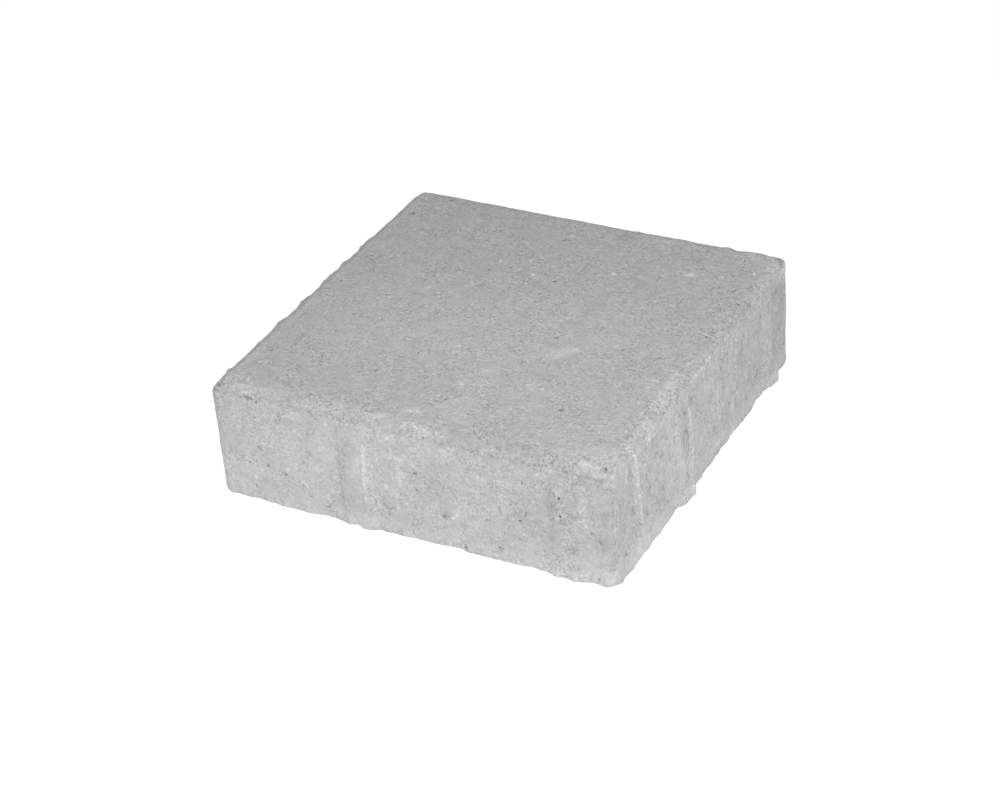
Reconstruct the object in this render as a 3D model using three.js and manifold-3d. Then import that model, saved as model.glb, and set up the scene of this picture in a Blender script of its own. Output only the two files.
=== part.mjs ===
// A pressed concrete paving stone, 200 x 200 x 60 mm, for a walk or a drive.
// One solid: a square block with rounded upright corners, a chamfer round the top face
// and two spacer ribs on every side. Millimetres, +Z up, the origin at the middle of the underside.

import * as THREE from 'three';
import { mergeVertices } from 'three/addons/utils/BufferGeometryUtils.js';
import Module from 'manifold-3d';

const wasm = await Module();
wasm.setup();

// Block
const SIDE = 200; // length and width of the block, without its ribs
const HEIGHT = 60; // underside to wearing face
const CORNER_RADIUS = 4; // upright corners
const FOOT_RADIUS = 0.8; // arris round the underside

// Chamfer round the wearing face
const CHAMFER_RUN = 6; // how far it goes in over the wearing face
const CHAMFER_DROP = 4.2; // how far it goes down the sides
const CHAMFER_EASE = 1; // length of each stretch that is rounded off, at both edges of the chamfer
const LEAST_RADIUS = 0.6; // corner radius that is left at the inner end of the chamfer

// Spacer ribs, which keep the joint between two stones open
const RIB_DEPTH = 3.4; // how far a rib stands out from the side at the underside
const RIB_HEAD_DEPTH = 1.5; // how far it still stands out where it starts to die away
const RIB_WIDTH = 18; // across both flanks, at the side
const RIB_CREST = 7; // across the crest, between the flanks
const RIB_CROWN = 0.25; // how far the middle of the crest stands over its edges
const RIB_LEAD = 75; // from a side's first corner to the middle of its first rib
const RIB_TRAIL = 22.5; // from the middle of its second rib to the side's other corner
const RIB_TOP_GAP = 1.5; // plain wall between the chamfer and the top of a rib
const RIB_RUNOUT = 8; // height over which a rib dies away into the side at its top
const RIB_ROOT = 3; // how deep a rib is keyed into the block

// Facets
const CORNER_STEPS = 3; // an arc gets twice as many segments
const EASE_STEPS = 3; // segments of an eased edge
const FLANK_STEPS = 5; // segments of a rib's flank, crest or run-out
const MERGE_DISTANCE = 1e-4;

const SIDES = 4;
const CHAMFER_FOOT = HEIGHT - CHAMFER_DROP; // height at which the chamfer starts
const RIB_TOP = CHAMFER_FOOT - RIB_TOP_GAP;

const concrete = new THREE.MeshStandardMaterial({ color: 0xb0b0ae, roughness: 0.95, metalness: 0 });

// Plan of the block, drawn in from its side by inset, counter-clockwise.
function planOutline(inset) {
  const half = SIDE / 2 - inset;
  const radius = Math.max(CORNER_RADIUS - inset, LEAST_RADIUS);
  const centre = half - radius;
  const outline = new THREE.Shape();
  outline.absarc(centre, centre, radius, 0, Math.PI / 2);
  outline.absarc(-centre, centre, radius, Math.PI / 2, Math.PI);
  outline.absarc(-centre, -centre, radius, Math.PI, 1.5 * Math.PI);
  outline.absarc(centre, -centre, radius, 1.5 * Math.PI, 2 * Math.PI);
  return outline.getPoints(CORNER_STEPS);
}

// Upright profile of the block's edge: x is the inset from the side, y the height.
function edgeProfile() {
  const slope = new THREE.Vector2(CHAMFER_RUN, CHAMFER_DROP).setLength(CHAMFER_EASE);
  const profile = new THREE.Path();
  profile.moveTo(FOOT_RADIUS, 0);
  profile.quadraticCurveTo(0, 0, 0, FOOT_RADIUS);
  profile.lineTo(0, CHAMFER_FOOT - CHAMFER_EASE);
  profile.quadraticCurveTo(0, CHAMFER_FOOT, slope.x, CHAMFER_FOOT + slope.y);
  profile.lineTo(CHAMFER_RUN - slope.x, HEIGHT - slope.y);
  profile.quadraticCurveTo(CHAMFER_RUN, HEIGHT, CHAMFER_RUN + CHAMFER_EASE, HEIGHT);
  return profile.getPoints(EASE_STEPS);
}

// Skins a stack of closed outlines, each with as many points, and closes both ends.
function loft(rings) {
  const count = rings[0].length;
  const positions = rings.flatMap((ring) => ring.flatMap((point) => point.toArray()));
  const indices = [];
  for (let level = 0; level + 1 < rings.length; level += 1) {
    for (let i = 0; i < count; i += 1) {
      const a = level * count + i;
      const b = level * count + ((i + 1) % count);
      indices.push(a, b, b + count, a, b + count, a + count);
    }
  }
  const last = (rings.length - 1) * count;
  const end = rings[0].map((point) => new THREE.Vector2(point.x, point.y));
  for (const [a, b, c] of THREE.ShapeUtils.triangulateShape(end, [])) {
    indices.push(a, c, b, last + a, last + b, last + c);
  }
  const geometry = new THREE.BufferGeometry();
  geometry.setAttribute('position', new THREE.Float32BufferAttribute(positions, 3));
  geometry.setIndex(indices);
  return geometry;
}

function makeBlock() {
  const rings = edgeProfile().map(({ x: inset, y: height }) =>
    planOutline(inset).map((point) => new THREE.Vector3(point.x, point.y, height)));
  return loft(rings);
}

// A flank that leaves the side and meets the crest smoothly, from (x0, y0) to (x1, y1).
function addFlank(shape, x0, y0, x1, y1) {
  const middle = (x0 + x1) / 2;
  shape.bezierCurveTo(middle, y0, middle, y1, x1, y1);
}

// Level section of a rib at its full depth: x along the side, y out from it.
function ribSection() {
  const foot = RIB_WIDTH / 2;
  const shoulder = RIB_CREST / 2;
  const edge = RIB_DEPTH - RIB_CROWN;
  const section = new THREE.Shape();
  section.moveTo(-foot, -RIB_ROOT);
  section.lineTo(foot, -RIB_ROOT);
  section.lineTo(foot, 0);
  addFlank(section, foot, 0, shoulder, edge);
  section.quadraticCurveTo(0, RIB_DEPTH + RIB_CROWN, -shoulder, edge);
  addFlank(section, -shoulder, edge, -foot, 0);
  return section.getPoints(FLANK_STEPS);
}

// Upright profile of a rib's crest: x is the height, y how far it stands out.
function ribProfile() {
  const head = RIB_TOP - RIB_RUNOUT;
  const profile = new THREE.Path();
  profile.moveTo(0, RIB_DEPTH);
  profile.lineTo(head, RIB_HEAD_DEPTH);
  addFlank(profile, head, RIB_HEAD_DEPTH, RIB_TOP, 0);
  return profile.getPoints(FLANK_STEPS);
}

// A rib at the origin: x along the side, y out from it, z up from the underside.
// Its section keeps its width all the way up, and only stands out less.
function makeRib() {
  const section = ribSection();
  const rings = ribProfile().map(({ x: height, y: depth }) => section.map((point) => {
    const out = point.y > 0 ? point.y * depth / RIB_DEPTH : point.y;
    return new THREE.Vector3(point.x, out, height);
  }));
  return loft(rings);
}

// Puts a rib on a side: side 0 is the one at +Y, and each next one is a quarter turn on.
// Seen from above and going counter-clockwise, its middle lies along millimetres past the first corner.
function placeRib(rib, side, along) {
  const placed = rib.clone();
  placed.translate(SIDE / 2 - along, SIDE / 2, 0);
  placed.rotateZ(side * 2 * Math.PI / SIDES);
  return placed;
}

function toSolid(geometry) {
  const bare = geometry.clone();
  bare.deleteAttribute('normal');
  bare.deleteAttribute('uv');
  const merged = mergeVertices(bare, MERGE_DISTANCE);
  return new wasm.Manifold(new wasm.Mesh({
    numProp: 3,
    vertProperties: new Float32Array(merged.attributes.position.array),
    triVerts: new Uint32Array(merged.index.array),
  }));
}

function toGeometry(solid) {
  const { vertProperties, triVerts } = solid.getMesh();
  const geometry = new THREE.BufferGeometry();
  geometry.setAttribute('position', new THREE.BufferAttribute(vertProperties, 3));
  geometry.setIndex(new THREE.BufferAttribute(triVerts, 1));
  return geometry;
}

function makeStone() {
  let stone = toSolid(makeBlock());
  const rib = makeRib();
  for (let side = 0; side < SIDES; side += 1) {
    for (const along of [RIB_LEAD, SIDE - RIB_TRAIL]) {
      stone = stone.add(toSolid(placeRib(rib, side, along)));
    }
  }
  const geometry = toGeometry(stone).toNonIndexed();
  geometry.computeVertexNormals();
  const mesh = new THREE.Mesh(geometry, concrete);
  mesh.name = 'paving_stone';
  return mesh;
}

const part = new THREE.Group();
part.add(makeStone());

export default part;
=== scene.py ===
"""A pressed concrete paving stone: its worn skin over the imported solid, its studio and its camera."""
import math
import random

import bmesh
import bpy
from mathutils import Matrix, Vector, noise


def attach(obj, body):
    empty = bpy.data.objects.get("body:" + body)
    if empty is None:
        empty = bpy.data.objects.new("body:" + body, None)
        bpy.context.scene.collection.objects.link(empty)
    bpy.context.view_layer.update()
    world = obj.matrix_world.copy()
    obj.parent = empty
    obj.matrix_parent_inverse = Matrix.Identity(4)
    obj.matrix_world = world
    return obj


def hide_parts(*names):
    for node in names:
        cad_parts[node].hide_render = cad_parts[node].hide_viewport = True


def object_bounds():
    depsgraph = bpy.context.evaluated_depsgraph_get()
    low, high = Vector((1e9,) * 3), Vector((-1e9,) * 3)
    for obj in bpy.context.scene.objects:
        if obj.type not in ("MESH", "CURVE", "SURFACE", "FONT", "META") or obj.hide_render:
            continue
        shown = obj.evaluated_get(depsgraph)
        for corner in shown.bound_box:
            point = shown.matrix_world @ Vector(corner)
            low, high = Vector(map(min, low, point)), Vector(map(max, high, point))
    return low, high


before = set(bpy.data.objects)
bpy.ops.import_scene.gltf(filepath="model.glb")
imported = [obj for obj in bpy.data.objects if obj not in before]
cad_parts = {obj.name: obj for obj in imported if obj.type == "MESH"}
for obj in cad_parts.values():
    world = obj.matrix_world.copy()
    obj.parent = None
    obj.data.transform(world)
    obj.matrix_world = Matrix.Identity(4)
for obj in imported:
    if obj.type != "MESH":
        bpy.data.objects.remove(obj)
cad_low, cad_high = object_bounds()

# The stone, in millimetres
MM = 0.001
STONE = "paving_stone"
HALF = 100.0  # from the middle to a side wall
HEIGHT = (cad_high.z - cad_low.z) / MM
REACH = cad_high.x / MM  # from the middle to the crest of a rib
CHAMFER_RUN = 6.0
CHAMFER_DROP = 4.2
CHAMFER_FOOT = HEIGHT - CHAMFER_DROP
RIB_MIDDLES = (75.0, 177.5)  # along each side, from its first corner
RIB_HALF_WIDTH = 9.0
RIB_CREST = 7.0  # how wide it is along its crest

# The skin
WELD = 1e-6  # metres
CELL = 0.1 / 59.5  # metres, between points on the plain skin; the side faces fall midway between points
EDGE_BAND = 4.0  # how far from an edge the skin is twice as fine
MARK_MARGIN = 1.2  # how far round a pit or a speck the skin is finer
SEAM_MARGIN = 2.2  # and how far beside the crest of a seam
# What the skin keeps at each point for the concrete's finish; the stains, the haze and the pits carry
# painted light and shade as well
MARKS = ("wall", "haze_light_and_shade", "pale", "stain_and_shade", "pit", "smooth", "speck", "scored")

# The sides in order, counter-clockwise from above: front, right, back, left
FRONT, RIGHT, BACK, LEFT = range(4)
OUTWARD = (Vector((0, -1, 0)), Vector((1, 0, 0)), Vector((0, 1, 0)), Vector((-1, 0, 0)))
UP = Vector((0, 0, 1))

# Marks on the wearing face: round pits, each (x, y, radius, depth)
TOP_PITS = (
    (8, 36, 1.1, 0.9), (31, -10, 1.1, 1), (90, 57, 1, 1), (59, -63.7, 1, 0.8), (-33, -64, 1.1, 0.8),
    (-76, 90.5, 1.6, 0.42), (95, -95.4, 1.2, 0.45), (-88, -45, 0.9, 0.6), (-87, 27, 0.9, 0.6),
    (-88.8, 72, 1.1, 0.9), (-89, 80, 0.9, 0.6), (-85, 23, 0.9, 0.5), (63, -9, 0.9, 0.5), (8, -74, 1.1, 0.5),
    (5, -73, 0.9, 0.4), (-86, -67, 0.9, 0.5), (-88, 0, 0.9, 0.5), (-23, 81, 0.9, 0.5), (-5, 82, 0.9, 0.4),
    (50, 80, 0.8, 0.4), (51, 86, 0.9, 0.5), (-5, 73, 0.9, 0.4), (-89, -32, 0.9, 0.5),
    (-0.3, -89.7, 0.7, 0.5), (-4, 28, 0.9, 0.45), (92, 16, 0.9, 0.5), (23, -81, 0.8, 0.4),
    (96, 49, 0.9, 0.5),
)
# Pale grains, each (x, y, radius, strength)
TOP_SPECKS = (
    (-4.3, 37.3, 1.3, 1.4), (65.6, 63.6, 2.1, 0.8), (31.6, 51.4, 1.7, 1.1), (-45.7, 9.4, 1.3, 0.7),
    (26.1, 4.1, 1.3, 0.65), (-24.6, 43.6, 1.3, 0.65), (-3, 78.1, 1.4, 0.7), (54.1, 58.6, 1.6, 0.55),
    (-78.9, 80.6, 1.6, 0.55), (-11.3, 49.4, 1.2, 0.6), (1, -87.3, 1.4, 0.45), (-2.6, -88.2, 1.6, 0.45),
    (9, -61, 1.5, 0.5), (80.6, 67, 1.2, 1), (87, 37, 1.2, 0.5), (60, 35, 1.1, 0.5), (88.2, -27, 1.2, 0.8),
    (49, 31, 1.1, 0.5), (-7, -33, 1.6, 0.4), (87, 40.6, 1.1, 0.9), (66, -25, 1.3, 0.5), (33, 61, 1.4, 0.5),
    (87, -34, 1.6, 0.5), (44, -52, 1.1, 0.4), (-19, 54, 1.2, 0.5), (38, -24, 1.4, 0.35),
    (68.5, 34.5, 1.9, 0.5), (-54, 19, 1.1, 0.5), (37, -51, 1.3, 0.45), (-22, -82, 1.1, 0.4),
    (44, 53, 1.2, 0.4), (54, 19, 1, 0.45), (52, -34, 1, 0.45), (82, 21, 1.4, 0.4), (41.5, 84, 1.4, 0.6),
    (-7, 17, 1, 0.55), (53, -19.5, 1, 0.6), (59.5, -7.2, 2, 0.4), (84, 15, 1, 0.4), (81, -69, 1, 0.45),
    (-54, -41, 1, 0.45), (32, 58, 1, 0.45), (37, -62, 1.2, 0.4), (89, -74, 1, 0.4), (74, -68, 1, 0.3),
    (-3, -76, 1, 0.45), (93, 75.5, 1.3, 0.9), (-19, -56, 1, 0.6), (43.5, 88, 1.2, 0.6), (22, -7, 1, 0.5),
    (27, -56, 1, 0.5), (-22, -43, 1, 0.5),
)
# Lime smears, each (x0, y0, x1, y1, half width, strength)
TOP_SMEARS = (
    (17, -50, 21, -60, 6, 0.4), (20, -60, 15, -78, 5, 0.35), (16, -78, 20, -88, 4, 0.4),
    (44, -17, 36, -25, 3.5, 0.8), (7, -60, 10, -63, 2, 0.5), (-3.5, -89.6, 2, -88.4, 2.3, 1.2),
    (93.2, -18, 94.8, -29, 2, 0.8), (94.8, -35, 96.2, -40, 2, 1), (95.4, -45.5, 95.8, -43, 1.9, 0.9),
    (86.5, -26, 88, -36, 2, 0.6), (86, -88, 94, -88, 3.5, 0.5), (83, -96, 92, -96.2, 0.8, 1.1),
    (74.5, -95.4, 77.5, -95.4, 1.3, 1.1), (96, -55.5, 96.6, -60, 2.2, 0.9), (74, 89, 83, 87, 1.9, 0.6),
    (33, -51, 46, -54, 3, 0.4), (7, -83, 10, -79, 2.5, 0.5), (66, -57, 72, -53, 2.5, 0.35),
    (-2, -96.2, 7, -96.4, 1.1, 1.3), (-24, -95.2, -14, -95.6, 1.3, 0.8), (4, -96.6, 22, -97.4, 1.2, 0.8),
    (-41, -97.6, -36, -97.4, 1.6, 0.6), (37, 87, 44, 88.5, 2.2, 0.6), (62, 62.5, 67, 65, 2.2, 0.5),
    (96.6, 85, 97.4, 90, 1.8, 0.8), (52, -89.6, 57.5, -91.4, 1.9, 0.8), (-88, -91, -84, -91, 2, 0.6),
    (-55, -88.5, -46, -89.4, 2, 0.6), (-74, -89, -71.5, -89, 1.8, 0.5), (44.5, -94, 46.5, -94, 1.6, 0.6),
    (86.5, 87, 89, 89, 1.8, 0.6), (84, 92, 89, 94, 2, 0.7),
)
# Stains, each the same
TOP_STAINS = (
    (68, -30, 69, -31, 3, 0.35), (-90, 25, -84, 22, 5, 0.3), (14, 90, 24, 86, 4, 0.5),
    (-60, 92, -45, 88, 7, 0.2), (66, -11, 68, -13, 3, 0.3), (92.5, -95.6, 97, -95.4, 1.6, 1),
    (94, 8, 95, 18, 3, 0.5), (-74, 74, -64, 81, 3.5, 0.5), (62, 76, 64, 77, 2.5, 0.6),
    (-80, -50, -79, -53, 3, 0.6), (-8, -62, -6, -62, 3, 0.5), (39, 63, 41, 64, 3, 0.5),
    (-7, 73, -4, 75, 2.5, 0.6), (91, -78, 95, -77, 3, 0.6), (-83, -29, -81, -31, 3, 0.5),
    (-56, -74, -54, -73, 2.5, 0.5), (-83, -65, -80, -66, 3, 0.4), (89, 66, 91, 65, 2.5, 0.5),
    (52, 74, 54, 73, 2.5, 0.5), (-71, -25, -67, -25, 2.5, 0.5), (26, -83, 30, -82, 2.5, 0.5),
    (92, 40, 92.4, 44, 2, 0.5), (85.5, -54, 86.5, -52, 2, 0.5), (91.5, -25, 92.5, -23, 2, 0.5),
    (95.2, -48.4, 95.8, -46.8, 1.3, 1), (-9.5, -93, -7, -93, 1.8, 0.6), (49.5, -93.2, 52.5, -93, 1.8, 0.7),
    (-21, -94, -19, -94, 1.8, 0.6),
)
# Broad lighter and darker parts, each (x0, y0, x1, y1, half width, strength from dark to light); the darker
# strips at y -92 along the front chamfer are painted shade
TOP_HAZE_AND_SHADE = (
    (-50, -18, 40, 0, 30, 0.3), (-60, -45, 10, -45, 22, 0.15), (97, 30, 97, 68, 4, -0.4),
    (-75, -92, 68, -92, 3, -0.3), (22, -92.2, 44, -92.2, 3, -0.2), (-93, -92, -93, 92, 3, 0.35),
)

# Marks on the sides, each with its first and last place as (along, height)
SIDE_PITS = {
    FRONT: (
        (174.9, 41.4, 0.75, 1.2), (175.3, 32.2, 0.7, 1.1), (27, 20.3, 0.9, 0.85), (153.5, 32.3, 0.5, 0.5),
        (154.5, 23.6, 0.7, 0.6), (127, 2.2, 1.1, 0.5), (191.5, 2.6, 1.1, 0.5), (57.5, 5.2, 0.9, 0.45),
        (36, 17.7, 1, 0.4), (19, 8, 0.9, 0.45), (104, 36, 0.9, 0.4), (17, 20, 0.9, 0.4),
        (104, 27, 0.9, 0.45), (117, 16, 0.9, 0.5), (50, 43, 0.9, 0.35), (50, 32, 0.9, 0.35),
        (144, 6.3, 0.9, 0.7), (11, 20, 0.8, 0.5), (140, 20, 0.8, 0.5), (157, 44, 0.8, 0.5),
        (23, 29, 0.9, 0.35), (36, 49, 0.8, 0.5), (139, 48, 0.8, 0.4), (145, 28, 0.8, 0.4),
        (193, 22, 0.9, 0.5), (189, 26, 0.8, 0.4), (48.5, 9, 1, 0.35), (103, 17, 0.8, 0.4),
    ),
    RIGHT: (
        (73.2, 45.4, 1, 1), (74.8, 34.9, 1, 0.9), (76, 27.2, 0.8, 0.7), (74.2, 11.8, 0.9, 0.7),
        (117.9, 42.6, 1.2, 1), (120.3, 31.3, 1.1, 0.8), (127, 34.4, 1.1, 0.9), (126.2, 18.6, 1.2, 0.8),
        (29.7, 20.3, 1.2, 0.9), (11, 10.6, 1, 0.32), (108, 16, 1, 0.8), (33, 17, 1, 0.7),
        (124, 16, 0.9, 0.6), (51, 20, 1, 0.6), (135, 36, 1, 0.6), (147, 9, 1, 0.6), (49, 38, 1, 0.6),
        (50, 28, 0.9, 0.5), (151, 20, 0.9, 0.5), (134, 13, 0.9, 0.5), (190, 26, 1, 0.6), (190, 20, 1, 0.6),
        (158, 14, 0.9, 0.5), (137, 25, 0.9, 0.5), (142, 42, 0.9, 0.5), (53, 27, 0.9, 0.5),
        (32, 45, 0.8, 0.4), (5, 14, 0.9, 0.5),
    ),
}
SIDE_SPECKS = {
    FRONT: (
        (43.5, 43.3, 1, 0.6), (19.6, 12.6, 1.2, 0.7), (121.7, 16.4, 1.1, 0.6), (123.7, 18.6, 1, 0.5),
        (94.9, 42, 1.2, 0.5), (60.6, 51.4, 1.1, 0.6), (63.6, 25.9, 0.9, 0.6), (91.7, 51.9, 1.2, 0.5),
        (103.7, 39.3, 1, 0.5), (20.8, 41, 1.1, 0.5), (46.7, 52.8, 1, 0.5), (37.9, 21.4, 1, 0.5),
        (166.3, 48.9, 1, 0.6), (133.4, 14.9, 1, 0.5), (137.6, 51.7, 1, 0.4), (23, 17.6, 1, 0.45),
        (94, 14.7, 1, 0.5), (187.6, 18.7, 1, 0.5), (182.9, 53.9, 1.1, 0.6), (165, 50.8, 1, 0.4),
    ),
    RIGHT: (
        (37.1, 53.8, 1.2, 0.7), (129.7, 15, 1, 0.6), (124, 28.3, 1, 0.5), (123.9, 31.7, 0.9, 0.5),
        (59, 18.7, 1, 0.5), (56.3, 29, 1, 0.45), (115, 18, 0.9, 0.45), (137.9, 41.4, 0.9, 0.4),
        (111.4, 48.1, 1, 0.4), (9.6, 21.7, 0.9, 0.3),
    ),
}
SIDE_SMEARS = {
    FRONT: (
        (95.8, 27, 96.2, 42, 1.2, 1.1), (122, 13, 123, 19, 2.2, 0.6), (185.6, 42, 186.2, 28, 1.8, 1.1),
        (144.3, 45.6, 147.6, 39.6, 1, 1.3), (145.2, 35.6, 147.8, 30.4, 0.9, 1.1),
        (130, 50, 170, 50, 2, 0.3), (40, 51.5, 48, 50.5, 2, 0.5), (58, 50.5, 63, 50, 2, 0.4),
        (88, 50.5, 94, 51, 2.5, 0.8), (101, 49.5, 106, 49, 2.2, 0.6), (118, 50.5, 124, 50, 2.2, 0.5),
        (133, 39, 138, 40.5, 2.2, 0.8), (38, 29.5, 38.5, 41, 2.4, 0.6), (66, 4, 70, 7, 3, 0.4),
        (161, 5, 168, 5, 3, 0.5), (188, 5, 194, 5, 3, 0.5), (155, 12, 164, 11, 2.5, 0.5),
        (84, 19, 88, 21, 2.5, 0.5), (84, 43, 85, 44, 2, 0.5), (37.5, 8.5, 60, 12, 2.6, 0.45),
        (165.5, 40, 166.4, 44, 1.6, 0.6), (76.5, 20, 77.5, 26, 2, 0.6), (76.3, 36, 77, 43, 2.2, 0.9),
        (173.5, 3, 177, 4, 2.2, 0.6), (122.5, 7.5, 123.5, 11, 2.2, 0.6), (148, 51, 153, 50.5, 1.8, 0.6),
        (184.5, 46, 186, 50.5, 1.8, 0.8), (71.5, 2.5, 74, 4, 1.8, 0.6),
        (174.5, 44.5, 177.5, 45.5, 1.8, 0.6), (91, 38, 91.6, 42, 1.8, 0.5), (152, 6, 154, 8, 1.8, 0.5),
        (3.5, 15, 5, 23, 2.2, 0.7), (59.5, 12, 61, 15, 2, 0.6), (127.5, 8, 129, 11, 1.8, 0.6),
        (120.5, 3, 122.5, 5, 1.8, 0.6), (86, 39, 87, 43, 2, 0.5), (195.5, 10, 196.5, 14, 1.6, 0.7),
        (11, 38, 15, 38.5, 1.6, 0.6), (194.5, 51, 197, 53, 1.6, 0.8), (146, 47, 148.5, 49, 1.6, 0.7),
        (180.5, 48, 181.5, 50, 1.4, 0.6), (60, 57.8, 63.5, 58, 1.5, 0.5),
    ),
    RIGHT: (
        (21.5, 54.5, 25.5, 49, 3, 0.75), (25, 45, 26, 30, 2, 0.6), (56, 14, 58, 50, 6, 0.3),
        (101, 10, 102.2, 15, 1.8, 0.7), (126.9, 36, 126.9, 47, 1.6, 0.7), (129.5, 12, 130, 17, 1.4, 0.8),
        (169.5, 24, 168.3, 46, 1.5, 0.5), (82, 55.5, 106, 55.6, 0.5, 1.2), (112.6, 21, 112.9, 42, 1.5, 0.5),
        (134.6, 38, 135, 50, 1.8, 0.6), (65.6, 30, 65.9, 46, 2, 0.6), (70, 20, 66, 24, 2, 0.5),
        (36, 53.8, 39, 53.6, 1.4, 0.9), (47, 53, 52, 53.4, 1.8, 0.7), (159.5, 50, 161.5, 46, 1.8, 0.4),
        (98, 42, 98, 46, 1.8, 0.5), (195.4, 29, 196.2, 37, 1.6, 0.9), (112.5, 4.5, 117.5, 5.5, 2.4, 0.8),
        (102.5, 38, 103.2, 47, 1.8, 0.7), (15.5, 46.5, 16.8, 50.5, 1.8, 1.1), (48, 48.5, 50, 51, 1.8, 0.6),
        (164, 10, 165, 13, 1.8, 0.5), (129.5, 49.5, 132.5, 51.5, 1.9, 1), (189, 52.5, 197, 53, 3, 1.3),
        (141, 55, 144, 56, 1.4, 0.6), (75.6, 10, 76.2, 21, 1.4, 0.7), (175.5, 5, 177, 7, 1.8, 0.7),
        (130, 2.5, 132, 4, 1.6, 0.8), (143, 2, 145, 4, 1.6, 0.6), (161, 37, 162.5, 42, 1.8, 0.5),
        (136.5, 41, 137.5, 45, 1.6, 0.5), (180.5, 17, 181.5, 21, 1.6, 0.5),
        (165.5, 56.8, 169, 56.8, 1.4, 0.8), (140.5, 46, 142, 49, 1.7, 0.8), (155, 47, 157, 49, 1.6, 0.7),
        (163, 53, 166, 55.5, 1.8, 0.7), (40, 53, 42.5, 53.6, 1.5, 0.6), (88.5, 54, 91.5, 54.6, 1.4, 0.5),
    ),
}
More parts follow.
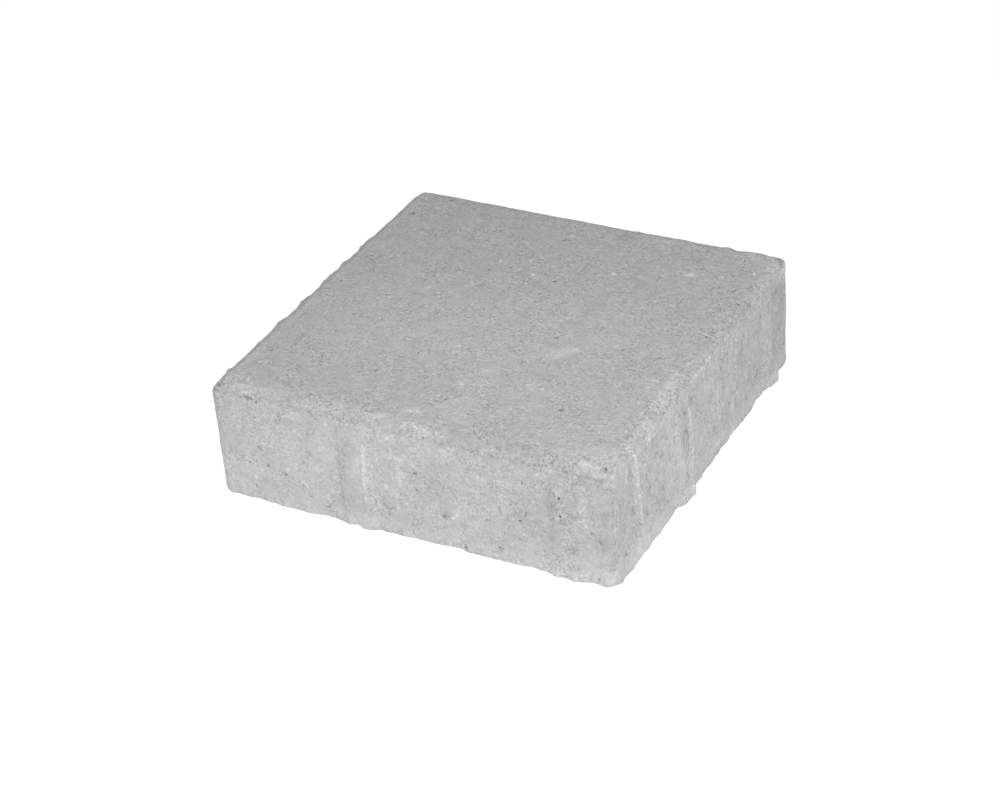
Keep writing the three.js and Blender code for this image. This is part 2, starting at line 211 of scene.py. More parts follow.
# Stains on the sides, each (along0, height0, along1, height1, half width, strength); some of them are
# painted shade, as marked below
SIDE_STAINS_AND_SHADE = {
    FRONT: (
        # painted shade: the long lines at 55 high are the shadow along the chamfer's foot, under the ragged
        # lip
        (3, 55.3, 62, 55.3, 0.9, 1.15), (62, 55.2, 116, 55.2, 0.9, 1), (116, 55, 198, 55, 0.9, 0.8),
        (33.5, 55.6, 36.5, 55.8, 1.4, 0.9), (135, 47, 137, 49, 1.6, 0.6), (158.5, 49, 160, 51, 1.6, 0.6),
        (34.5, 17.5, 38, 17, 1.5, 0.8), (110, 41, 116, 41, 2.2, 0.5), (117, 31, 124, 30, 2.2, 0.8),
        (113, 17, 118, 17, 2.4, 0.7), (137, 17, 138, 17, 2, 0.4), (149, 23, 154, 27, 3, 0.6),
        # painted shade: the upright lines at 66, 68 and 170.5 along darken the left flanks of the ribs
        (180, 15, 182, 17, 2.4, 0.7), (191, 20, 193, 24, 2.4, 0.6), (65.9, 12, 66, 49, 0.9, 0.9),
        (68, 20, 68.5, 46, 2, 0.5), (170.5, 15, 170.5, 49, 2, 0.75), (49.5, 26, 50, 44, 1.6, 0.6),
        (12, 29, 12.4, 34, 2, 0.4), (17, 46, 20, 50, 2.4, 0.7), (20, 25, 25, 27, 2.4, 0.6),
        (84, 35, 88, 37, 3, 0.6), (80, 10, 84, 10, 2.6, 0.5), (32, 52, 36, 52, 2, 0.5),
        (88, 14, 91, 14, 2.4, 0.4), (101, 5, 103, 5, 2, 0.5), (7, 44, 8, 50, 2, 0.5),
        (46.5, 20, 47, 28, 2, 0.7), (157, 25, 157.5, 36, 2, 0.6), (66, 3, 67.5, 6, 1.7, 0.9),
        (112.5, 31, 114, 34, 1.8, 0.5), (146, 16, 147, 19, 1.8, 0.5), (47.5, 36, 48.5, 39, 1.8, 0.6),
        (38.5, 57.2, 42, 57.4, 1.5, 0.7), (173, 47, 175, 49, 1.6, 0.7), (154, 40, 155, 42, 1.4, 0.6),
        (22, 38, 23, 40, 1.6, 0.5), (172, 51, 175, 53, 1.8, 0.7), (190, 32, 191, 36, 1.8, 0.6),
        (101.5, 2.5, 103, 4, 1.6, 0.6), (35, 47.5, 37, 48.5, 1.7, 0.6), (138, 56.4, 140, 56.5, 1.4, 0.6),
        (94, 53, 96, 53, 1.4, 0.6), (3.5, 56.6, 6, 57, 1.6, 0.7), (118, 57.4, 120, 57.6, 1.4, 0.6),
    ),
    RIGHT: (
        (71.6, 30, 73, 46, 1.8, 0.9), (73, 24, 75, 34, 1.4, 0.8), (50, 24, 53, 10, 1.6, 0.4),
        # painted shade: the upright line at 0.5 along darkens the near corner
        (0.5, 12, 0.5, 54, 2, 0.5), (117, 44, 120.5, 30, 1.4, 0.7), (134, 30, 138, 22, 1.8, 0.5),
        (150, 22, 151, 18, 2.2, 0.5), (157, 14, 164, 16, 2.2, 0.5), (107, 17, 112, 11, 2, 0.6),
        # painted shade: the two lines at 20 to 22.5 along darken the foot of the seam beside the near
        # corner
        (20.3, 53, 20.6, 42, 1, 0.9), (20.4, 40, 22.5, 20, 1, 0.5), (8, 11, 14, 10.5, 1.6, 0.6),
        (18.5, 45, 19, 51, 1.6, 0.6), (32, 17, 33, 21, 1.8, 0.5), (124, 15, 127, 19, 1.8, 0.6),
        (90, 8, 91, 9, 1.8, 0.6), (173.5, 9, 174, 13, 1.8, 0.6), (172, 53, 176, 52, 2.2, 0.5),
        (148, 52.5, 152, 52, 2, 0.6), (184.5, 42, 186, 48, 2.2, 0.7), (190.5, 24, 191, 29, 2.2, 0.6),
        (13, 23, 13, 30, 2.2, 0.5), (53, 25, 53.6, 30, 2, 0.5), (149, 34, 149.5, 39, 2, 0.5),
        (118.5, 41, 119.2, 45, 1.4, 0.6), (144.5, 41, 145.2, 45, 2, 0.5), (36, 23, 36, 29, 1.8, 0.5),
        (102.5, 19, 103, 23, 1.6, 0.6), (167.5, 22, 168.5, 28, 1.8, 0.7), (32, 50, 34, 53, 1.8, 0.6),
        # painted shade: the long thin lines at about 56.4 high are shade along the chamfer's foot
        (14, 56.4, 38, 56.4, 0.6, 0.7), (47, 56.4, 65, 56.4, 0.6, 0.5), (76, 56.5, 108, 56.5, 0.5, 0.7),
        (108, 56.4, 156, 56.4, 0.6, 0.5), (10.5, 55.5, 13.5, 55.5, 1.4, 0.8),
        (74.8, 37, 75.6, 47, 1.7, 0.8), (128.6, 18, 129.2, 25, 1.6, 0.7), (16.5, 7, 17.5, 10, 1.6, 0.6),
        (170, 46, 172, 50, 2, 0.5), (66.5, 49, 67.5, 52, 1.8, 0.5), (56, 2.5, 58, 4.5, 1.6, 0.5),
        (57.5, 52, 60, 54, 1.7, 0.7), (121, 53.5, 123.5, 55, 1.5, 0.6), (182, 57.4, 185, 57.6, 1.4, 0.6),
        (194.5, 57.2, 198, 57.4, 1.8, 1), (177, 47, 179, 49, 1.6, 0.6), (40, 57.8, 42.5, 58, 1.4, 0.6),
    ),
}
# Broad lighter and darker parts on the sides, each the same; among them painted light along the foot and
# painted shade on the chamfers, at the near corner and beside a rib, as marked below
SIDE_HAZE_LIGHT_AND_SHADE = {
    FRONT: (
        (6, 22, 62, 30, 16, 0.35), (48, 20, 60, 40, 8, 0.35), (96, 26, 98, 26, 12, 0.2),
        # painted shade: the upright strips at 183 and 197 along darken the front towards the near corner
        (183, 20, 184, 50, 8, -0.85), (197, 12, 198, 52, 5, -0.9), (128, 53, 196, 53, 3, -0.4),
        # painted shade: the strips at 57.8 to 58.6 high, here and at the start of the next line, darken the
        # chamfer
        (22, 57.8, 62, 57.9, 1.8, -0.3), (62, 58.6, 116, 58.6, 2.6, -0.62),
        # painted light: the strips at 2 and 3 high lighten the foot, as light thrown up from the floor
        (122, 58.6, 180, 58.6, 2.6, -1.05), (4, 3, 72, 3, 6, 0.55), (72, 2, 196, 2, 5, 0.42),
        (150, 46, 166, 46, 9, -0.3), (78, 30, 79, 44, 6, 0.2), (5, 15, 20, 15, 8, 0.35),
        (106, 30, 118, 33, 9, -0.22), (158, 24, 168, 36, 9, -0.3), (3.5, 50, 5, 58, 3, -0.4),
    ),
    RIGHT: (
        # painted light: the strip at 3 high lightens the foot, as light thrown up from the floor
        (66, 22, 162, 24, 15, 0.38), (20, 3, 196, 3, 6, 0.85), (4, 53.5, 62, 53.5, 3, 0.25),
        # painted shade: the strips at 57.5 to 59 high, here and at the start of the next line, darken the
        # chamfer
        (82, 53.5, 104, 53.5, 3, 0.3), (10, 59, 36, 59, 2.4, -0.2), (48, 57.5, 90, 58, 2.6, -0.35),
        (96, 59, 130, 59, 2.4, -0.3), (130, 36, 148, 34, 8, -0.2), (156, 16, 166, 38, 8, -0.3),
        # painted shade: the strip at 178 to 187 along darkens the far side of the second rib, and the strip
        # at 0.5 along the near corner
        (178, 26, 187, 42, 8.5, -0.42), (0.5, 10, 0.5, 54, 3, -0.45), (8, 22, 12, 40, 5, -0.25),
        # painted shade: the strip at 57 to 58 high darkens the chamfer near the far corner
        (194.5, 57, 198, 58, 2.4, -0.8),
    ),
}
SIDE_SMOOTH = {  # parts closed with paste
    FRONT: (
        (58, 28, 60, 46, 4.5, 0.8), (69.5, 16, 70, 48, 3.2, 0.9), (125, 39, 127, 46, 4, 0.7),
    ),
    RIGHT: ((8, 14, 9, 52, 7, 0.7),),
}

# Forms of the sides
RIB_FADE = (45.0, 54.5)  # the heights between which a rib dies away
RIB_SECTIONS = {  # level sections of the spacer ribs at the foot, each (along, out)
    FRONT: (
        (0, 0), (65, 0), (66.4, 1), (70, 1.7), (73, 2), (79, 2.1), (84, 0), (166, 0), (167.4, 0.9),
        (174, 2.1), (181.5, 2.3), (187, 0), (200, 0),
    ),
    RIGHT: (
        (0, 0), (61, 0), (64, 0.3), (66, 1), (68, 1.8), (71, 2.3), (74.5, 2.5), (76.6, 2.6), (77.4, 2.8),
        (78.6, 2.8), (79.8, 1.6), (82, 0), (166, 0), (168.5, 0.5), (171, 1.7), (174.5, 2.4), (178, 2.7),
        (180.6, 2.8), (183, 0), (200, 0),
    ),
    BACK: (
        (0, 0), (66, 0), (71, 2.6), (78.5, 2.9), (83.5, 0),
        (168.5, 0), (173.5, 2.7), (181, 2.8), (186.5, 0), (200, 0),
    ),
    LEFT: (
        (0, 0), (66.5, 0), (71, 2.8), (79, 2.9), (84, 0),
        (168.5, 0), (174, 2.9), (181.5, 2.7), (186, 0), (200, 0),
    ),
}
# Share of its depth that a rib loses in each millimetre up
RIB_TAPERS = {FRONT: 0.011, RIGHT: 0.0125, BACK: 0.013, LEFT: 0.014}
FOOT_HEIGHT = 8.0  # below it the sides run into their ragged lower edge
FOOT_LINES = {  # how far the lower edge stands out, each (along, out)
    FRONT: (
        (0, -0.2), (4.5, 0.2), (7, -0.8), (12, -0.4), (16, -0.8), (20, -1.1), (24, -0.2), (28, -0.2),
        (36, 0.4), (40, 0.1), (46, 0.7), (52, -0.1), (56, -0.7), (60, -0.4), (64, 0.3), (68.5, 1.5),
        (72, 0.1), (76.5, 2.2), (80, 1.6), (84, 0.1), (88, 0.3), (92, -0.1), (96, 0.4), (100, -0.3),
        (108, -0.1), (116, -0.3), (120, -0.8), (124, -1), (128, 0.4), (132, 0), (136, 0.6), (144, 0.4),
        (148, 0.4), (156, 0.1), (160, -0.6), (164, 0.2), (168, 0.4), (172.5, 2.2), (176, 0.8), (180.5, 2.4),
        (184, 1.3), (188, 0), (192, 0.1), (196, 1), (200, 1.2),
    ),
    RIGHT: (
        (0, 0.3), (4, 0.1), (8, -0.6), (12, -0.3), (16, 0.1), (20, -0.3), (24, -0.1), (28, -0.4), (32, 0.2),
        (36, -0.4), (40, -0.4), (44, 0.2), (48, 0), (52, -0.1), (56, -0.2), (60, -0.3), (63, -0.6),
        (66, 0.9), (68, 2.2), (71, 2.6), (74.5, 2.5), (77, 3.3), (78.3, 3.4), (79.6, 2.4), (81, 0.3),
        (88, 0.4), (92, 0.3), (96, -0.2), (104, 0.4), (108, -0.1), (112, 0), (116, -0.5), (120, 0.2),
        (124, 0), (128, -0.2), (132, -0.3), (136, 0.1), (140, 0.35), (152.5, 0.55), (156, -0.3),
        (160, -0.7), (164, 0.1), (168, -0.4), (171, 0.6), (173.5, 1.5), (176, 2.2), (179, 2.7),
        (180.8, 2.6), (183, 0), (188, -0.3), (192, -0.1), (196, 0.2), (200, 0),
    ),
}
TOP_EDGES = {  # how far the chamfer is worn in on the left and down at the back, each (along, wear)
    LEFT: (
        (0, 1.5), (5, 2.2), (8, 2), (11, 1.1), (13, 0.6), (19, 2.1), (23, 2.6), (27, 3), (37, 1), (40, 1.2),
        (45, 2.7), (47, 2.7), (53, 0.5), (55, 0.1), (59, 0.5), (62, 0.1), (73, 1.7), (75, 0.7), (79, 0.1),
        (85, 0.9), (89, 0.2), (101, 0.4), (105, 1.5), (109, 1.4), (115, 0.2), (119, 0.1), (124, 1),
        (127, 1.8), (129, 1.1), (139, -0.1), (147, 0.9), (159, 0.4), (163, 1.3), (165, 1), (168, 1.6),
        (171, 0.9), (175, 1.2), (177, 0.7), (180, 1.1), (183, 0.1), (189, 1.3), (194, 1), (200, 0.8),
    ),
    BACK: (
        (0, 0.8), (8, 0.5), (12, 0), (16, -0.1), (20, 0.2), (24, 1), (28, -0.2), (32, 0.5), (36, 0.5),
        (44, 0.6), (48, 0.3), (52, 0.1), (57, 0.5), (60, 0.5), (64, 0.4), (72, 0.5), (76, 0.1), (80, 0.6),
        (88, 0.5), (96, 0.5), (104, 0.4), (112, 0.2), (120, 0.4), (128, 0.3), (132, 0.2), (140, 0.1),
        (148, 0.1), (156, 0), (164, 0.2), (168, 0.1), (176, -0.2), (184, 0), (194, -0.2), (200, 0.2),
    ),
}
TOP_EDGE_BAND = 3.0
TORN_DEPTH = 1.5  # what a wear of 1 takes off the chamfer's foot on the left
TORN_LIFT = 0.7  # and how far that edge stands out where the wear is 0
TORN_WAY = Vector((-0.84, 0.0, 0.54))  # out of that edge
# How far the chamfer's upper edge is rounded down
UPPER_EDGE_DROP = {FRONT: 0.25, RIGHT: 0.15, BACK: 0.0, LEFT: 0.0}
UPPER_EDGE_BAND = 4.0
CORNER_BAND = (3.0, 6.0)  # from an upright: up to the first a side isn't drawn flat, from the second it is
# How full each upright is, by whether it is at the right and whether it is at the back
UPRIGHT_SWELLS = {(True, False): 0.0, (True, True): 0.3, (False, True): -0.95, (False, False): -0.15}
UPRIGHT_REACH = 10.0  # how far from its two sides that shows
ON_WALL_LEAST = 0.25  # how far a face has to be turned outward to count as part of a side
ON_TOP_LEAST = 0.3  # and upward, to count as part of the wearing face
RIM_BAND = 8.0  # the width of the underside's rim that goes in and out with the foot
RIM_INSET = 0.3  # how far the underside stays inside the foot
BURR_INSET = 0.4  # where the crest of the ragged lip is, in from the side
BURR_RISE = 0.2  # and above the chamfer's foot
BURR_BAND = (0.3, 1.5)  # how far from its crest the lip begins to drop, and ends
BURR_MOST = 0.8  # its greatest height
BURR_END = (80.0, 120.0)  # the places along the front between which it dies away
# How uneven the faces are, each (height, width) of its waves
WALL_WAVES = ((0.22, 26.0), (0.12, 6.0))
TOP_WAVES = ((0.10, 40.0), (0.05, 8.0))
UNDERSIDE_LIFT = 0.25  # how far the open face of the underside lies above its rim
# Raised seams on the sides, each a line of (height, along), how far it wavers, its width before and
# behind, its height and how pale it is
SEAMS = {
    FRONT: ((((14, 78.2), (28, 78.4), (38, 79.2), (46, 78.8)), 0.3, 1.6, 1.8, 0.25, 1.3),),
    RIGHT: (
        (((9, 28.6), (18, 26.6), (32, 25.1), (46, 23.6), (57, 21.7)), 0.6, 0.8, 3.2, 0.75, 1.4),
        (((2, 76.6), (14, 76.8), (24, 78.0), (34, 78.3), (47, 77.4)), 0.2, 0.6, 0.9, 0.4, 1.9),
    ),
}
HOLLOW_DEPTH = 1.3  # between the seam beside the near corner and the corner itself
HOLLOW_ENDS = (9.0, 13.0, 51.0, 56.0)  # the heights between which it comes and goes
HOLLOW_REACH = 34.0  # how far along the right side the hollow and its seam are
FOOT_SKIN_HEIGHT = 10.0  # a smooth raised band of paste along the foot of the right side
FOOT_SKIN_TURN = 24.0  # from here on it gets lower
FOOT_SKIN_END = 63.0
FOOT_SKIN_LIFT = 0.4
SMOOTH_CORNER = (184.0, 192.0)  # the places along the front between which its paste gets smooth


def blend(low, high, value):
    """0 up to low, 1 from high, and a smooth rise between."""
    t = min(max((value - low) / (high - low), 0.0), 1.0)
    return t * t * (3.0 - 2.0 * t)


def ripple(p, size, octaves=2):
    """Smooth noise round 0 with bumps about size millimetres across."""
    return noise.fractal(p / size, 1.0, 2.0, octaves)


def waves(p, sizes):
    """Several ripples together, each (height, width)."""
    return sum(height * ripple(p, width) for height, width in sizes)


def wall_place(p):
    """The side that a point is nearest to, how far along that side it is, and how far out."""
    if -p.y >= abs(p.x):
        return FRONT, p.x + HALF, -p.y
    if p.x >= abs(p.y):
        return RIGHT, p.y + HALF, p.x
    if p.y >= abs(p.x):
        return BACK, HALF - p.x, p.y
    return LEFT, HALF - p.y, -p.x


def edge_distance(p, out):
    """How far a point is from the nearest of the stone's long edges."""
    inset = HALF - out
    outer = math.hypot(inset, p.z - CHAMFER_FOOT)
    inner = math.hypot(inset - CHAMFER_RUN, p.z - HEIGHT)
    foot = math.hypot(inset, p.z)
    upright = math.hypot(HALF - abs(p.x), HALF - abs(p.y))
    return min(outer, inner, foot, upright)


# --- Marks -------------------------------------------------------------------------------------

def warped(p):
    """A point pushed about a little, so that a smear or stain drawn at it comes out ragged."""
    broad, fine = p / 5.0, p / 1.9
    return p + Vector((
        1.3 * noise.noise(broad) + 0.5 * noise.noise(fine),
        1.3 * noise.noise(broad + Vector((31, 0, 0))) + 0.5 * noise.noise(fine + Vector((0, 17, 0))),
        1.3 * noise.noise(broad + Vector((0, 0, 23))),
    ))


def stroke(place, bent, mark):
    """Strength of a smear or stain at a place, down to 0 past its edge; a wide one is the more ragged."""
    u0, v0, u1, v1, half_width, strength = mark
    ragged = min(half_width / 3.0, 1.0)
    u = place[0] + ragged * (bent[0] - place[0])
    v = place[1] + ragged * (bent[1] - place[1])
    du, dv = u1 - u0, v1 - v0
    t = min(max(((u - u0) * du + (v - v0) * dv) / (du * du + dv * dv), 0.0), 1.0)
    distance = math.hypot(u - u0 - t * du, v - v0 - t * dv)
    return strength * (1.0 - blend(0.2 * half_width, 1.6 * half_width, distance))


def dot(place, mark):
    """1 in the middle of a pit or speck, 0 past its rim."""
    reach = math.hypot(place[0] - mark[0], place[1] - mark[1]) / mark[2]
    return 1.0 - blend(0.35, 1.0, reach)


def strokes_at(marks, place, bent):
    """The strongest of a list of smears or stains at a place."""
    return max((stroke(place, bent, mark) for mark in marks), default=0.0)


def haze_at(marks, place, bent):
    """All the broad lighter and darker parts at a place together."""
    return sum(stroke(place, bent, mark) for mark in marks)


def specks_at(marks, place):
    """The strongest pale grain at a place."""
    return max((mark[3] * dot(place, mark) for mark in marks), default=0.0)


def pits_at(marks, place):
    """How deep the pits are at a place, and how dark they are painted: painted shade inside the pits."""
    depth = dark = 0.0
    for mark in marks:
        bite = dot(place, mark)
        depth += mark[3] * bite
        dark = max(dark, min(mark[3], 1.0) * bite)
    return depth, dark


def hidden_marks(rng):
    """Pits, smears, stains and a ragged foot for the two sides that have none listed above, with painted
    light along the foot and painted shade along the chamfer.
    """
    def strokes(count, width, strength):
        made = []
        for _ in range(count):
            along, height = rng.uniform(8, 192), rng.uniform(3, 34)
            made.append((along, height, along + rng.uniform(-3, 3), height + rng.uniform(5, 18),
                         rng.uniform(1.5, width), rng.uniform(0.2, strength)))
        return tuple(made)

    for side in (BACK, LEFT):
        SIDE_PITS[side] = tuple(
            (rng.uniform(6, 194), rng.uniform(3, 52), rng.uniform(0.7, 1.2), rng.uniform(0.5, 1.1))
            for _ in range(12)
        )
        SIDE_SPECKS[side] = tuple(
            (rng.uniform(6, 194), rng.uniform(3, 52), rng.uniform(0.7, 1.2), rng.uniform(0.4, 0.8))
            for _ in range(5)
        )
        SIDE_SMEARS[side] = strokes(7, 5.0, 0.6) + ((4.0, 4.0, 196.0, 4.0, 5.0, 0.3),)
        # the last stain is painted shade along the chamfer's foot
        SIDE_STAINS_AND_SHADE[side] = strokes(9, 6.0, 0.5) + ((4.0, 56.3, 196.0, 56.3, 1.6, 0.4),)
        # painted light along the foot, painted shade on the chamfer
        SIDE_HAZE_LIGHT_AND_SHADE[side] = ((4.0, 3.0, 196.0, 3.0, 6.0, 0.4), (4.0, 58.8, 196.0, 58.8, 2.4, -0.4))
        SIDE_SMOOTH[side] = strokes(3, 6.0, 0.8)
        SEAMS[side] = ()
        ragged = tuple(
            (along, line_at(RIB_SECTIONS[side], along) + rng.uniform(-0.8, 0.4))
            for along in range(4, 197, 4)
        )
        FOOT_LINES[side] = ((0, -0.7), *ragged, (200, -0.9))


# --- Forms of the skin, each in millimetres ----------------------------------------------------

def line_at(line, along):
    """The height of a line of (along, height) points at a place along it."""
    for (a0, h0), (a1, h1) in zip(line, line[1:]):
        if along <= a1:
            return h0 + (h1 - h0) * max(along - a0, 0.0) / (a1 - a0)
    return line[-1][1]


def wobble(distance, broad, fine, share):
    """Noise round 0 along a line: broad and fine are each a size and a row, share is the fine one's."""
    return sum(
        part * noise.noise(Vector((distance / size, row, 0.0)))
        for part, (size, row) in ((1.0, broad), (share, fine))
    )


def rib(side, along, height):
    """How far the two spacer ribs of a side stand out at a place on it."""
    share = (1.0 - RIB_TAPERS[side] * height) * (1.0 - blend(*RIB_FADE, height))
    return line_at(RIB_SECTIONS[side], along) * share


def seam_middle(seam, height):
    """How far along its side a seam is."""
    line, waver = seam[0], seam[1]
    return line_at(line, height) + waver * wobble(height, (7.0, 3.0), (2.5, 9.0), 0.5)


def seam_share(seam, along, height):
    """1 on a seam's crest, 0 beside it and past its ends."""
    line, _, before, behind = seam[:4]
    low, high = line[0][0], line[-1][0]
    share = blend(low - 1.0, low + 2.0, height) * (1.0 - blend(high - 2.0, high + 1.0, height))
    aside = along - seam_middle(seam, height)
    width = behind if aside > 0.0 else before
    return share * (1.0 - blend(0.0, width, abs(aside)))


def seams_at(side, along, height):
    """How far the seams stand out at a place, and how pale they are there."""
    lift = pale = 0.0
    for seam in SEAMS[side]:
        share = seam_share(seam, along, height)
        lift += seam[4] * share
        pale = max(pale, seam[5] * share)
    return lift, pale


def corner_hollow(along, height):
    """Depth of the hollow between the near corner and the seam beside it."""
    middle = seam_middle(SEAMS[RIGHT][0], height)
    low0, low1, high0, high1 = HOLLOW_ENDS
    ends = blend(low0, low1, height) * (1.0 - blend(high0, high1, height))
    deeper = blend(-4.0, middle - 4.0, along)
    return HOLLOW_DEPTH * ends * deeper * (1.0 - blend(middle - 1.2, middle + 0.3, along))


def foot_skin(along, height):
    """Share of the smooth paste band at a place on the right side."""
    waver = 0.8 * wobble(along, (9.0, 8.0), (2.5, 5.0), 0.5)
    lower = max(along - FOOT_SKIN_TURN, 0.0) / (FOOT_SKIN_END - FOOT_SKIN_TURN)
    top = FOOT_SKIN_HEIGHT * (1.0 - lower) + waver
    return 1.0 - blend(top - 0.6, top + 0.6, height)


def drag(side, along, height):
    """Faint upright scores that the mould leaves on the sides."""
    p = Vector((along, 40.0 * side, height / 14.0))
    return (0.10 if side == FRONT else 0.16) * (ripple(p, 5.0) + 0.5 * ripple(p, 1.8))


def burr_height(side, along):
    """Height of the ragged lip left between the stamp and the mould, at the chamfer's foot."""
    if side != FRONT:
        return 0.0
    torn = noise.noise(Vector((along / 3.2, 0.0, 5.0))) + 0.6 * noise.noise(Vector((along / 9.0, 0.0, 9.0)))
    return (1.0 - blend(*BURR_END, along)) * min(max(0.25 + 0.9 * torn, 0.0), BURR_MOST)


def edge_wear(p, side, along, out):
    """Depth lost along the edges, a little everywhere and more in chips."""
    distance = edge_distance(p, out)
    near = 1.0 - blend(0.4, EDGE_BAND, distance)
    if near == 0.0:
        return 0.0
    bite = max(ripple(p, 7.0) + 0.15, 0.0)
    chip = max(noise.noise(p / 3.0) - 0.3, 0.0)
    return near * (0.05 + 0.6 * bite * bite + 1.4 * chip) * blend(0.0, 5.0, p.z)


def torn_off(p, side, along, out):
    """Depth torn off the chamfer's foot, on the left only."""
    if side != LEFT:
        return 0.0
    torn = TORN_DEPTH * line_at(TOP_EDGES[side], along) - TORN_LIFT + 0.8 * noise.noise(p / 1.8)
    torn *= blend(0.0, 5.0, along) * blend(0.0, 5.0, 2 * HALF - along)
    return torn * (1.0 - blend(0.8, TOP_EDGE_BAND, math.hypot(HALF - out, p.z - CHAMFER_FOOT)))


def foot_line(side, along, place):
    """How far the ragged foot stands out of the side's plane."""
    return line_at(FOOT_LINES[side], along) + 0.15 + 0.3 * ripple(place, 2.5)


def wall_form(side, along, height, place):
    """How far a side's skin stands out of its plane, and the marks there."""
    out = rib(side, along, height) + drag(side, along, height)
    out += waves(place, WALL_WAVES)
    out += (foot_line(side, along, place) - out) * (1.0 - blend(0.5, FOOT_HEIGHT, height))

    bent = warped(place)
    _, bent_along, _ = wall_place(bent)
    if abs(bent_along - along) > EDGE_BAND:
        bent_along = along
    here, bent = (along, height), (bent_along, bent.z)
    haze_light_and_shade = haze_at(SIDE_HAZE_LIGHT_AND_SHADE[side], here, bent)
    pale = strokes_at(SIDE_SMEARS[side], here, bent)
    stain_and_shade = strokes_at(SIDE_STAINS_AND_SHADE[side], here, bent)
    smooth = strokes_at(SIDE_SMOOTH[side], here, bent)
    speck = specks_at(SIDE_SPECKS[side], here)
    depth, pit = pits_at(SIDE_PITS[side], here)
    lift, seam_pale = seams_at(side, along, height)
    pale = max(pale, seam_pale)
    out += lift - depth + 0.2 * min(pale, 1.0) - 0.15 * stain_and_shade
    if side == RIGHT:
        paste = foot_skin(along, height)
        out += FOOT_SKIN_LIFT * paste - corner_hollow(along, height)
        haze_light_and_shade += 0.45 * paste
        smooth = max(smooth, paste)
    elif side == FRONT:
        smooth = max(smooth, 0.6 * blend(*SMOOTH_CORNER, along))
    scored = 0.0 if side == FRONT else 1.0
    return out, haze_light_and_shade, pale, stain_and_shade, pit, smooth, speck, scored


def upright_swell(p):
    """How far a point moves where its upright is fuller than planned, or rounder."""
    across = abs(p.x) - HALF + UPRIGHT_REACH
    deep = abs(p.y) - HALF + UPRIGHT_REACH
    if min(across, deep) <= 0.0:
        return Vector()
    share = 2.0 * across * deep / (across * across + deep * deep)
    swell = UPRIGHT_SWELLS[p.x > 0.0, p.y > 0.0] / UPRIGHT_REACH
    return Vector((math.copysign(across, p.x), math.copysign(deep, p.y), 0.0)) * swell * share


def rim_shift(p, side, along, out):
    """How far the underside's rim goes out or in, so that it keeps to the ragged foot."""
    aside = min(abs(along - middle) for middle in RIB_MIDDLES)
    reach = (REACH - HALF) * (1.0 - blend(0.5 * RIB_CREST, RIB_HALF_WIDTH, aside))
    share = 1.0 - blend(0.5, RIM_BAND, HALF + reach - out)
    share *= blend(*CORNER_BAND, min(along, 2 * HALF - along))
    return (foot_line(side, along, p) - reach - RIM_INSET) * share


def top_form(p):
    """How far the wearing face's skin stands up, and the marks there."""
    up = waves(p, TOP_WAVES)
    here = (p.x, p.y)
    bent = warped(p).xy
    haze_light_and_shade = haze_at(TOP_HAZE_AND_SHADE, here, bent)
    pale = strokes_at(TOP_SMEARS, here, bent)
    stain_and_shade = strokes_at(TOP_STAINS, here, bent)
    speck = specks_at(TOP_SPECKS, here)
    depth, pit = pits_at(TOP_PITS, here)
    up += 0.12 * pale - 0.1 * stain_and_shade + 0.15 * speck - depth
    return up, haze_light_and_shade, pale, stain_and_shade, pit, 0.0, speck, 0.0


def skin_point(p, normal):
    """Where a point of the plain skin goes, and its marks, in the order of MARKS."""
    side, along, out = wall_place(p)
    on_wall = max(normal.dot(OUTWARD[side]), 0.0)
    on_top = max(normal.z, 0.0)
    below = max(-normal.z, 0.0)
    shift = Vector()
    marks = (0.0,) * (len(MARKS) - 1)

    # A flat part of a side is placed at its form, out from the side's plane. Elsewhere the form is
    # added to the solid's own skin, which has the rib already.
    if on_wall > ON_WALL_LEAST:
        form, *marks = wall_form(side, along, p.z, p)
        flat = blend(*CORNER_BAND, min(along, 2 * HALF - along))
        flat *= max(blend(ON_WALL_LEAST, 0.5, on_wall), blend(0.0, 0.2, below))
        flat *= 1.0 - blend(CHAMFER_FOOT - 1.0, CHAMFER_FOOT, p.z)
        plain = form - rib(side, along, p.z)
        held = max(on_wall, min(below / 0.3, 1.0))
        shift += OUTWARD[side] * ((HALF + form - out) * flat + plain * (1.0 - flat) * held)
    if on_top > ON_TOP_LEAST:
        form, *top_marks = top_form(p)
        shift += UP * form * on_top
        marks = tuple(max(pair, key=abs) for pair in zip(marks, top_marks))

    if below > 0.5:
        pores = max(noise.noise(p / 3.5) - 0.15, 0.0)
        rough = UNDERSIDE_LIFT + 0.3 * ripple(p, 12.0) + 1.6 * pores
        shift += UP * below * rough * blend(0.0, 3.0, HALF - out)
        if on_wall <= ON_WALL_LEAST:
            shift += OUTWARD[side] * rim_shift(p, side, along, out)

    if on_top > ON_TOP_LEAST:
        rounded = 1.0 - blend(0.0, UPPER_EDGE_BAND, abs(HALF - out - CHAMFER_RUN))
        shift -= UP * UPPER_EDGE_DROP[side] * rounded
        if side == BACK:
            outer = 1.0 - blend(CHAMFER_RUN, CHAMFER_RUN + TOP_EDGE_BAND, HALF - out)
            shift -= UP * line_at(TOP_EDGES[side], along) * outer
    from_crest = math.hypot(HALF - BURR_INSET - out, p.z - CHAMFER_FOOT - BURR_RISE)
    lip = 1.0 - blend(*BURR_BAND, from_crest)
    shift += UP * lip * burr_height(side, along)

    rough = 1.0 - 0.8 * marks[MARKS.index("smooth") - 1]
    shift += normal * rough * (0.10 * ripple(p, 2.6) + 0.05 * noise.noise(p / 1.2))
    shift -= normal * edge_wear(p, side, along, out) * rough * (1.0 - lip if side == FRONT else 1.0)
    shift -= TORN_WAY * torn_off(p, side, along, out)
    return p + shift + upright_swell(p), (min(on_wall / 0.9, 1.0), *marks)


# --- The skin's mesh ---------------------------------------------------------------------------

